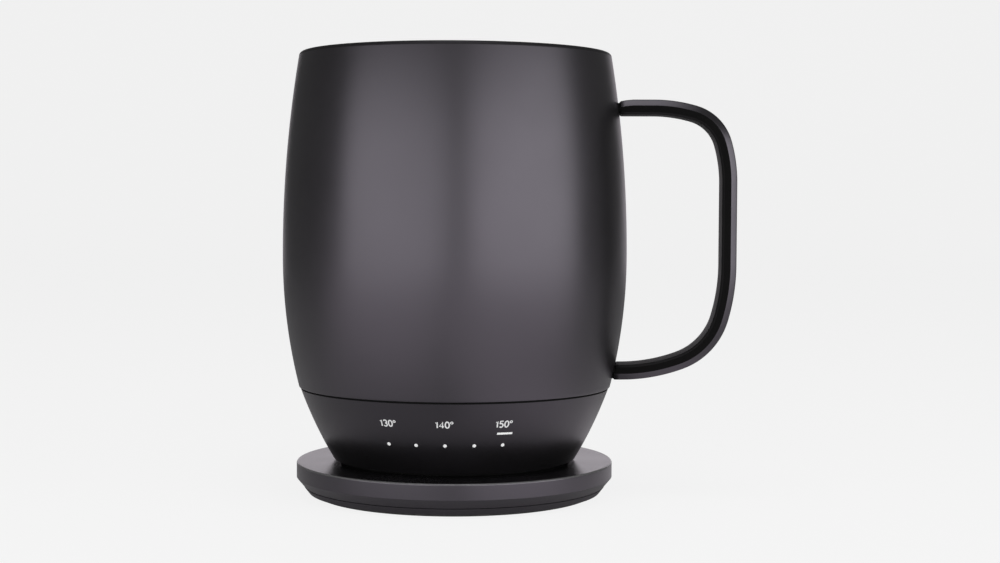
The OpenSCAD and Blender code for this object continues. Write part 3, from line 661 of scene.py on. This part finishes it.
def finish_mesh(name, made, crease):
    """Turns a bmesh in millimetres into an object with smooth faces and sharp creases."""
    bmesh.ops.remove_doubles(made, verts=made.verts, dist=WELD)
    bmesh.ops.recalc_face_normals(made, faces=made.faces)
    bmesh.ops.scale(made, vec=(MM, MM, MM), verts=made.verts)
    for face in made.faces:
        face.smooth = True
    mesh = bpy.data.meshes.new(name)
    made.to_mesh(mesh)
    made.free()
    mesh.set_sharp_from_angle(angle=math.radians(crease))
    piece = bpy.data.objects.new(name, mesh)
    bpy.context.scene.collection.objects.link(piece)
    return piece


def skin_rings(made, rings, closed, strips=()):
    """Joins rings of points by quads; closed joins the last ring to the first.

    strips gives the number of the finish of each strip along the points."""
    count = len(rings)
    for i in range(count if closed else count - 1):
        a = rings[i]
        b = rings[(i + 1) % count]
        for k in range(len(a)):
            n = (k + 1) % len(a)
            face = made.faces.new((a[k], a[n], b[n], b[k]))
            if strips:
                face.material_index = strips[k]


def close_ends(made, rings):
    """Puts a face on the first and the last ring."""
    made.faces.new(rings[0])
    made.faces.new(rings[-1])


def turned(name, outline, sides=256, strips=()):
    """Piece turned about the mug's axis from a closed outline of radius and height.

    strips gives the number of the finish of each strip round the axis."""
    made = bmesh.new()
    rings = []
    for i in range(sides):
        turn = 2 * math.pi * i / sides
        x = math.cos(turn)
        y = math.sin(turn)
        rings.append([made.verts.new((r * x, r * y, z)) for r, z in outline])
    skin_rings(made, rings, True, strips)
    return finish_mesh(name, made, crease=40)


# --- pieces

def lip_arc(first, last, count):
    """Points of the rolled lip between two turns."""
    middle = shell_radius(LIP_MIDDLE_Z, LIP_R)
    return arc_points(middle, LIP_MIDDLE_Z, LIP_R, LIP_R, first, last, count)


def shell_skin():
    """Barrel wall with a softened edge at the seam, its coat carried over the lip."""
    outline = [(shell_radius(z), z) for z in spread(WALL_START_Z, LIP_MIDDLE_Z, 90)]
    outline += lip_arc(LIP_START, LIP_END, 22)
    outline += [(shell_radius(z, SHELL_WALL), z) for z in spread(LIP_Z, WALL_START_Z, 40)]
    corners = [(shell_radius(SEAM_TOP_Z), SEAM_TOP_Z, SEAM_EDGE)]
    corners += [(r, z, 0) for r, z in outline]
    corners.append((shell_radius(SEAM_TOP_Z, SHELL_WALL), SEAM_TOP_Z, SEAM_INNER_EDGE))
    outline = rounded(corners)
    strips = [1 if z > LIP_MIDDLE_Z else 0 for _, z in outline]
    return turned("shell_skin", outline, strips=strips)


def cup_corner(z, inset, radius):
    """Arc from the cup's wall down to its floor."""
    middle = shell_radius(z, inset + radius)
    return arc_points(middle, z, radius, radius, CUP_CORNER_START, -90, 12)


def cup_skin():
    """Inner cup with its round bottom corner and the flare up to the lip."""
    inner = CUP_INSET + CUP_WALL
    corner = CUP_CORNER - CUP_WALL
    floor_z = CUP_Z + CUP_FLOOR_T
    corner_z = floor_z + corner
    outer_corner_z = CUP_Z + CUP_CORNER
    flare_r = shell_radius(FLARE_Z, inner)
    outline = [(shell_radius(z, CUP_INSET), z) for z in spread(outer_corner_z, FLARE_Z, 30)]
    outline.append((shell_radius(LIP_Z, SHELL_WALL + CUP_GAP), LIP_Z))
    outline += lip_arc(LIP_END, LIP_INSIDE, 6)
    lip_r, lip_z = outline[-1]
    for share in spread(FLARE_START, 1, 10):
        outline.append((lip_r + (flare_r - lip_r) * share, lip_z + (FLARE_Z - lip_z) * share))
    for z in spread(FLARE_Z - FLARE_STEP, corner_z, 50):
        outline.append((shell_radius(z, inner), z))
    outline += cup_corner(corner_z, inner, corner)
    outline.append((0, floor_z))
    outline.append((0, CUP_Z))
    outline += reversed(cup_corner(outer_corner_z, CUP_INSET, CUP_CORNER))
    return turned("cup_skin", outline)


def strap_outline(inset=0.0, drop=0.0):
    """Section of the strap: y across it, and depth from its inner to its outer face."""
    half = STRAP_W / 2 - inset
    top = STRAP_T - inset - drop
    side = top - STRAP_BEVEL_T
    flat = half - STRAP_BEVEL_W
    return rounded([
        (half - STRAP_EDGE, inset, STRAP_SOFT),
        (half, inset + STRAP_EDGE, STRAP_SOFT),
        (half, side, STRAP_SOFT),
        (flat, top, STRAP_TOP_SOFT),
        (-flat, top, STRAP_TOP_SOFT),
        (-half, side, STRAP_SOFT),
        (-half, inset + STRAP_EDGE, STRAP_SOFT),
        (STRAP_EDGE - half, inset, STRAP_SOFT),
    ], steps=4)


def bend_stations(arcs, side, arm_z):
    """Points of the strap's inner line from the grip to a level arm, each with its outward turn.

    The bend is a chain of tangent arcs. arm_z is the height of the arm's outer face."""
    outer = arcs[0][0]
    centre = Vector((HANDLE_X - outer, 0.0))
    points = [(HANDLE_X - STRAP_T, 0.0, 0.0)]
    turn = 0.0
    for radius, sweep in arcs:
        angle = math.radians(turn)
        centre = centre + (outer - radius) * Vector((math.cos(angle), math.sin(angle)))
        inner = radius - STRAP_T
        for step in spread(turn, turn + sweep, ARC_STATIONS)[1:]:
            angle = math.radians(step)
            x = centre.x + inner * math.cos(angle)
            points.append((x, centre.y + inner * math.sin(angle), step))
        outer = radius
        turn += sweep
    rise = centre.y + outer
    return [(x, arm_z + side * (z - rise), side * step) for x, z, step in points]


def strap_stations():
    """Points of the strap's inner line from the upper to the lower end, each with its turn."""
    upper = bend_stations(UPPER_ARCS, 1, HANDLE_TOP_Z)
    lower = bend_stations(LOWER_ARCS, -1, HANDLE_LOW_Z)
    first = (ARM_START_X, HANDLE_TOP_Z - STRAP_T, 90)
    return [first] + [station for station in upper[::-1] + lower if station[0] > BELLY_R]


def strap_point(x, z, turn, across, depth):
    """Point of the strap's section that stands at x and z with an outward turn."""
    angle = math.radians(turn)
    return Vector((x + depth * math.cos(angle), across, z + depth * math.sin(angle)))


def wall_point(z, turn, across, depth, gap):
    """Where a line of the strap's arm meets the shell grown by gap."""
    point = strap_point(0, z, turn, across, depth)
    radius = shell_radius(point.z, -gap)
    point.x = math.sqrt(radius * radius - across * across)
    return point


def strap_end(made, z, turn, steps):
    """Rings of one end of the strap, from the shell outwards: the neck, then the end face."""
    rings = []
    for inset, drop, gap in steps:
        outline = strap_outline(inset, drop)
        rings.append([made.verts.new(wall_point(z, turn, y, d, gap)) for y, d in outline])
    return rings


def handle_strap():
    """Flat strap handle: a chamfered section along its path, with a narrow neck at each end."""
    made = bmesh.new()
    rings = strap_end(made, HANDLE_TOP_Z - STRAP_T, 90, UPPER_END)
    outline = strap_outline()
    for x, z, turn in strap_stations():
        rings.append([made.verts.new(strap_point(x, z, turn, y, d)) for y, d in outline])
    rings += reversed(strap_end(made, HANDLE_LOW_Z + STRAP_T, -90, LOWER_END))
    skin_rings(made, rings[:NECK_RINGS], False)
    skin_rings(made, rings[NECK_RINGS - 1:1 - NECK_RINGS], False, STRAP_STRIPS)
    skin_rings(made, rings[-NECK_RINGS:], False)
    close_ends(made, rings)
    return finish_mesh("handle_strap", made, crease=50)


def grooved_rubber(name, inner, outer, low, high, edge, grooves):
    """Rubber disc or ring with softened edges and shallow round grooves in its underside."""
    corners = [(inner, low, edge if inner else 0)]
    for r in grooves:
        corners.append((r - GROOVE_HALF, low, GROOVE_SOFT))
        corners.append((r - GROOVE_FLOOR_HALF, low + GROOVE_DEPTH, GROOVE_SOFT))
        corners.append((r + GROOVE_FLOOR_HALF, low + GROOVE_DEPTH, GROOVE_SOFT))
        corners.append((r + GROOVE_HALF, low, GROOVE_SOFT))
    corners.append((outer, low, edge))
    corners.append((outer, high, RUBBER_TOP_EDGE))
    corners.append((inner, high, RUBBER_TOP_EDGE if inner else 0))
    return turned(name, rounded(corners))


def button_cap():
    """Push button with a dished face, a soft edge and the flange that keeps it in."""
    outline = rounded([
        (0, BUTTON_Z + BUTTON_MIDDLE_DEPTH, 0),
        (BUTTON_DISH_R, BUTTON_Z + BUTTON_DISH_DEPTH, BUTTON_DISH_SOFT),
        (BUTTON_LAND_R, BUTTON_Z, BUTTON_LAND_SOFT),
        (BUTTON_R, BUTTON_Z, BUTTON_EDGE),
        (BUTTON_R, BUTTON_FLANGE_Z, 0),
        (BUTTON_FLANGE_R, BUTTON_FLANGE_Z, BUTTON_FLANGE_EDGE),
        (BUTTON_FLANGE_R, BUTTON_TOP_Z, BUTTON_FLANGE_EDGE),
        (0, BUTTON_TOP_Z, 0),
    ])
    return turned("button_cap", outline, sides=96)


def pin_coil(name, low, high):
    """Coil spring of a contact pin between two corners, its end turns drawn together."""
    middle = (low + high) / 2
    coil_r = (high.x - low.x) / 2 - SPRING_WIRE_R
    rise = high.z - low.z - 2 * SPRING_WIRE_R
    made = bmesh.new()
    rings = []
    for share in spread(0, 1, SPRING_TURNS * SPRING_STEPS + 1):
        turn = 2 * math.pi * SPRING_TURNS * share
        drawn = share * share * (3 - 2 * share)
        z = low.z + SPRING_WIRE_R + rise * (share + drawn) / 2
        ring = []
        for around in spread(0, 2 * math.pi, SPRING_WIRE_SIDES + 1)[:-1]:
            reach = coil_r + SPRING_WIRE_R * math.cos(around)
            x = middle.x + reach * math.cos(turn)
            y = middle.y + reach * math.sin(turn)
            ring.append(made.verts.new((x, y, z + SPRING_WIRE_R * math.sin(around))))
        rings.append(ring)
    skin_rings(made, rings, False)
    close_ends(made, rings)
    return finish_mesh(name, made, crease=60)


def arc_stroke(x, y, across, up, first, last):
    """A numeral's round stroke."""
    count = max(STROKE_POINTS, int(abs(last - first) / STROKE_STEP))
    return arc_points(x, y, across, up, first, last, count)


# Characters of height 1: width, and the points of each stroke
NUMERALS = {
    "0": (0.68, [arc_stroke(0.31, 0.5, 0.24, 0.43, 0, 360)]),
    "1": (0.50, [[(0.10, 0.76), (0.29, 0.93), (0.29, 0.07)]]),
    "3": (0.66, [
        arc_stroke(0.28, 0.715, 0.205, 0.215, 155, -90),
        arc_stroke(0.28, 0.285, 0.235, 0.215, 90, -155),
    ]),
    "4": (0.70, [[(0.44, 0.07), (0.44, 0.93), (0.07, 0.29), (0.60, 0.29)]]),
    "5": (0.66, [
        [(0.50, 0.93), (0.15, 0.93), (0.12, 0.53)],
        arc_stroke(0.28, 0.335, 0.225, 0.265, 128, -145),
    ]),
    "d": (0.42, [arc_stroke(0.18, 0.80, 0.14, 0.14, 0, 360)]),
}


def is_loop(points):
    """Whether a stroke ends where it starts."""
    return math.dist(points[0], points[-1]) < LOOP_GAP


def ribbon(points, width):
    """Pairs of points on the left and right edge of a stroke of the given width."""
    pairs = []
    last = len(points) - 1
    for i, point in enumerate(points):
        before = Vector(points[max(i - 1, 0)])
        after = Vector(points[min(i + 1, last)])
        if is_loop(points) and i in (0, last):
            before = Vector(points[-2])
            after = Vector(points[1])
        along = (after - before).normalized()
        side = Vector((-along.y, along.x)) * width / 2
        pairs.append((Vector(point) + side, Vector(point) - side))
    return pairs


def on_base(turn, across, up, height):
    """Point on the base at a turn, moved across and up from the marks' height, then raised."""
    z = MARK_Z + up * MARK_SLOPE
    angle = math.radians(turn) + across / base_radius(MARK_Z)
    radius = base_radius(z) + height
    return (radius * math.cos(angle), radius * math.sin(angle), z)


def add_stroke(made, points, width, turn):
    """One raised stroke on the base."""
    rows = []
    for left, right in ribbon(points, width):
        section = ((left, MARK_HIGH), (right, MARK_HIGH), (right, MARK_LOW), (left, MARK_LOW))
        rows.append([made.verts.new(on_base(turn, at.x, at.y, h)) for at, h in section])
    skin_rings(made, rows, False)
    if not is_loop(points):
        close_ends(made, rows)


def setting_marks():
    """Three plain numbers over the first, middle and last dot."""
    made = bmesh.new()
    for step, characters in MARKS:
        across = -sum(NUMERALS[c][0] for c in characters) * MARK_CAP / 2
        for character in characters:
            advance, strokes = NUMERALS[character]
            width = RING_STROKE if character == "d" else MARK_STROKE
            for points in strokes:
                moved = [(across + x * MARK_CAP, (y - 0.5) * MARK_CAP) for x, y in points]
                add_stroke(made, moved, width, FRONT + step)
            across += advance * MARK_CAP
    return finish_mesh("setting_marks", made, crease=30)


# --- put together

def dress(finish, *nodes):
    """Gives CAD nodes their finish."""
    for name in nodes:
        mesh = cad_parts[name].data
        mesh.materials.clear()
        mesh.materials.append(finish)


def fit(piece, finishes, body, slot, *nodes):
    """Gives a piece its finishes and body, and lets it stand for CAD nodes. slot is not used."""
    for finish in finishes:
        piece.data.materials.append(finish)
    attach(piece, body)
    if nodes:
        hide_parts(*nodes)


shell_coat = satin_coat("satin_coat", level=0.006, gloss=0.31, sheen=1.0)
lip_coat = satin_coat("lip_coat", level=0.006, gloss=0.45, sheen=0.45)
strap_coat = satin_coat("strap_coat", level=0.006, gloss=0.28, sheen=1.0)
strap_side = moulded_black("strap_side", level=0.007, gloss=0.72, grain=2600.0, sheen=0.03)
# Painted light: the inner face gets a lighter black than the rest of the strap, standing in for
# light falling on it
strap_inside_painted_light = moulded_black("strap_inside_painted_light", level=0.012, gloss=0.55, grain=2600.0, sheen=0.15)
base_black = moulded_black("base_black", level=0.004, gloss=0.32, grain=2300.0, sheen=0.75)
tray_black = moulded_black("tray_black", level=0.004, gloss=0.45, grain=2000.0, sheen=0.95)
inner_black = moulded_black("inner_black", level=0.05, gloss=0.50, grain=1500.0, sheen=0.5)
rubber = soft_rubber("soft_rubber", level=0.016, sheen=0.5)
dark_rubber = soft_rubber("dark_rubber", level=0.004, sheen=0.15)
pad_rubber = soft_rubber("pad_rubber", level=0.06, sheen=0.5)
steel = turned_metal(
    "turned_steel", colour=(0.58, 0.58, 0.59, 1.0), dull=(0.42, 0.41, 0.40, 1.0), gloss=0.22)
gold = turned_metal(
    "contact_gold", colour=(0.86, 0.62, 0.25, 1.0), dull=(0.62, 0.44, 0.20, 1.0), gloss=0.18)

strap_finishes = [strap_side, strap_coat, strap_inside_painted_light]
fit(shell_skin(), [shell_coat, lip_coat], "mug", "satin_shell", "outer_shell")
fit(cup_skin(), [cup_glaze()], "mug", "cup_coat", "inner_cup")
fit(handle_strap(), strap_finishes, "mug", "satin_shell", "handle")
fit(setting_marks(), [printed_white_glow()], "mug", "light_white")
pad = grooved_rubber("pad_skin", 0, PAD_R, 0, PAD_T, PAD_EDGE, PAD_GROOVES)
fit(pad, [pad_rubber], "coaster", "rubber", "coaster_pad")
foot = grooved_rubber(
    "foot_skin", FOOT_IN_R, FOOT_OUT_R, FOOT_Z, FOOT_TOP_Z, FOOT_EDGE, FOOT_GROOVES)
fit(foot, [dark_rubber], "mug", "rubber", "foot_ring")
fit(button_cap(), [base_black], "power_button", "base_plastic", "power_button")
for pin in ("inner_pin", "outer_pin"):
    low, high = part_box(pin + "_spring")
    coil = pin_coil(pin + "_coil", low / MM, high / MM)
    fit(coil, [steel], "coaster", "steel", pin + "_spring")
    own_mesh(coil)

dress(base_black, "base_housing", "bottom_cover", "contact_plate")
dress(coaster_moulding(), "coaster_top")
dress(tray_black, "coaster_base")
dress(rubber, "cord_gland", "rim_seal", "button_seal")
dress(dark_rubber, "seam_gasket")
dress(inner_black, "shell_ring", "battery_tray")
dress(steel, "pin_barrels", "coaster_screws", "handle_screws", "bottom_screws")
dress(gold, "inner_contact_pin", "outer_contact_pin")
dress(gold, "inner_contact_ring", "outer_contact_ring", "contact_studs")
dress(circuit_mask(), "coaster_board", "main_board", "led_board")
dress(chip_resin(), "coaster_components", "board_components", "tact_switch", "thermistor")
dress(light_window(), "light_pipes", "bar_light_pipe", "leds", "switch_plunger")
dress(heater_track(), "heater_film")
dress(insulation_felt(), "insulation_disc")
dress(cell_wrap(), "battery_cells")
dress(lead_sleeve(), "heater_leads", "sensor_leads")


# --- studio

def sweep_mesh():
    """Floor that bends up into a wall behind the mug."""
    made = bmesh.new()
    profile = [(PAPER_FRONT_Y, 0.0), (0.0, 0.0)]
    profile += arc_points(PAPER_BEND_Y, PAPER_BEND_R, PAPER_BEND_R, PAPER_BEND_R, -90, 0, 24)
    profile.append((PAPER_BEND_Y + PAPER_BEND_R, PAPER_TOP_Z))
    rows = []
    for x in (-PAPER_HALF_W, PAPER_HALF_W):
        rows.append([made.verts.new((x, y, z)) for y, z in profile])
    for k in range(len(profile) - 1):
        made.faces.new((rows[0][k], rows[1][k], rows[1][k + 1], rows[0][k + 1]))
    return finish_mesh("backdrop", made, crease=60)


def painted_glow_share(shade, spot):
    """How strongly the floor glows in the object's glossy finishes, by its place in metres:
    painted light in reflections, with painted shade near the mug and straight ahead.
    """
    across, depth, height = parts_of(shade, spot)
    distance = axis_distance(shade, spot)
    right = ramp(shade, across, 0.0, 0.07)
    behind = ramp(shade, depth, -0.12, 0.0) - ramp(shade, depth, 0.9, 1.3)
    low = 1 - ramp(shade, height, 0.45, 0.75)
    # Rings of floor from under the coaster outwards, whose glow is painted, dim near the mug as
    # painted shade
    under = 1 - ramp(shade, distance, 0.044, 0.048)
    near = ramp(shade, distance, 0.048, 0.058)
    inner = near - ramp(shade, distance, 0.06, 0.072)
    close = near - ramp(shade, distance, 0.08, 0.12)
    away = ramp(shade, distance, 0.06, 0.17)
    far = ramp(shade, distance, 0.1, 0.2)
    beside = 0.25 * near + 0.2 * near * right + close * (0.7 * right - 0.05) + 0.2 * inner
    beside = beside * (1 - behind * (0.5 + 0.4 * far)) + 0.6 * close * right * (1 - behind)
    # Painted shade: a dimmer wedge of floor straight ahead, between the two side lamps
    ahead = 1 - ramp(shade, depth, -0.075, -0.062)
    lean = shade.math("ABSOLUTE", across / depth - 0.06)
    wedge = ahead * (1 - ramp(shade, lean, 0.08, 0.28))
    pale = 0.1 * under + beside + 0.75 * away * (1 - behind)
    return pale * low * (1 - wedge * (0.6 - 0.35 * far))


def pale_paper():
    """Pale paper with painted shade in front near the lamps, which the camera sees paler still
    and glossy finishes see as a painted glow.
    """
    material, shader, shade = start("pale_paper")
    spot = place(shade)
    depth = parts_of(shade, spot)[1]
    fibre = noise(shade, spot, 600.0, 3.0)
    # Painted shade: the paper is painted dark grey in front, near the lamps, to damp the light
    # pooling there
    painted_shade_by_lamps = 1 - ramp(shade, depth, -0.5, -0.25)
    paper = blend_colours(shade, fibre, grey(0.78), grey(0.82))
    paint(shader, {
        "Base Color": blend_colours(shade, painted_shade_by_lamps, paper, grey(0.1)),
        "Roughness": 0.85 + 0.1 * fibre,
        "Specular IOR Level": 0.1,
    })
    camera_ray = shade.node("ShaderNodeLightPath", {}, {}, "Is Camera Ray")
    glossy_ray = shade.node("ShaderNodeLightPath", {}, {}, "Is Glossy Ray")
    glass_ray = shade.node("ShaderNodeLightPath", {}, {}, "Is Transmission Ray")
    tone = blend_colours(shade, camera_ray, MAUVE, grey(1.0))
    glow = shade.node("ShaderNodeEmission", {}, {"Color": tone, "Strength": 1.0})
    # Painted reflection: glossy rays see the floor's glow in a painted pattern of light and shade
    share = PAPER_SEEN * camera_ray + painted_glow_share(shade, spot) * (glossy_ray + glass_ray)
    lit = Shade(shade.tree, shader.outputs["BSDF"])
    pale = shade.node("ShaderNodeMixShader", {}, {0: share, 1: lit, 2: glow})
    join(shade.tree, pale, shade.tree.nodes["Material Output"].inputs["Surface"])
    return material


def backdrop():
    """Pale floor and wall of the studio."""
    piece = sweep_mesh()
    piece.data.materials.append(pale_paper())


def soft_box(name, turn, rise, reach, width, height, watts):
    """Large soft lamp aimed at the mug's middle."""
    lamp = bpy.data.lights.new(name, "AREA")
    lamp.shape = "RECTANGLE"
    lamp.size = width * MM
    lamp.size_y = height * MM
    lamp.energy = watts
    angle = math.radians(turn)
    lift = math.radians(rise)
    level = math.cos(lift)
    aim = Vector((0, 0, LAMP_AIM_Z))
    away = Vector((math.cos(angle) * level, math.sin(angle) * level, math.sin(lift)))
    spot = aim + reach * away
    stand = bpy.data.objects.new(name, lamp)
    stand.location = spot * MM
    stand.rotation_euler = (aim - spot).to_track_quat("-Z", "Y").to_euler()
    bpy.context.scene.collection.objects.link(stand)


def camera():
    """Camera at the photograph's place."""
    lens = bpy.data.cameras.new("camera")
    lens.sensor_width = SENSOR_W
    lens.sensor_fit = "HORIZONTAL"
    lens.lens = FOCAL_SHARE * SENSOR_W
    lens.clip_start = CLIP_START * MM
    yaw = Matrix.Rotation(math.radians(CAMERA_YAW), 3, "Z")
    pitch = Matrix.Rotation(math.radians(90) + math.radians(CAMERA_PITCH), 3, "X")
    roll = Matrix.Rotation(math.radians(CAMERA_ROLL), 3, "Z")
    stand = bpy.data.objects.new("camera", lens)
    stand.location = Vector(CAMERA_PLACE) * MM
    stand.rotation_euler = (yaw @ pitch @ roll).to_euler()
    bpy.context.scene.collection.objects.link(stand)
    bpy.context.scene.camera = stand


def world_light():
    """Dim even surroundings, which the camera sees as pale as the backdrop."""
    world = bpy.data.worlds.new("studio")
    bpy.context.scene.world = world
    world.use_nodes = True
    shade = Shade(world.node_tree)
    camera_ray = shade.node("ShaderNodeLightPath", {}, {}, "Is Camera Ray")
    tone = blend_colours(shade, camera_ray, grey(WORLD_LIGHT), grey(WORLD_SEEN))
    join(world.node_tree, tone, world.node_tree.nodes["Background"].inputs["Color"])


backdrop()
for lamp in LAMPS:
    soft_box(*lamp)
camera()
world_light()
bpy.context.scene.view_settings.view_transform = "Standard"
